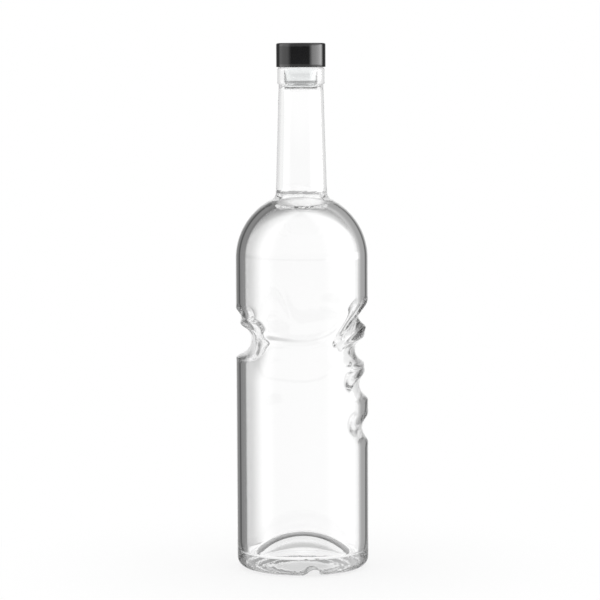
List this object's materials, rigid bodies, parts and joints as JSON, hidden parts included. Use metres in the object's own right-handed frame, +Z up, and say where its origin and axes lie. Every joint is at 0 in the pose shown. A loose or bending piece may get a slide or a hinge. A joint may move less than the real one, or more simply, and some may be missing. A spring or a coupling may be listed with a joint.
{
  "type": "glass bottle",
  "caption": "Clear glass bottle with a round shoulder, a hand grip pressed into its barrel, a pushed-up base and a black push-in stopper that pulls out of the neck.",
  "frame": {"origin": "centre of the base's bearing ring, on the table", "axes": "+Z up the bottle's axis, -Y the front, +X towards the finger grooves"},
  "size_m": [0.08, 0.08, 0.3179],
  "materials": {
    "clear_glass": "clear, fire polished",
    "cap_black": "gloss black",
    "core_plastic": "as moulded",
    "clear_polymer": "clear soft polymer"
  },
  "bodies": {
    "bottle": {"bottle_glass": "clear_glass"},
    "stopper": {"cap_shell": "cap_black", "cap_core": "core_plastic", "stopper_plug": "clear_polymer"}
  },
  "joints": [
    {"name": "stopper_pull", "type": "slide", "parent": "bottle", "child": "stopper", "axis": [0, 0, 1], "range_m": [0, 0.06]}
  ]
}
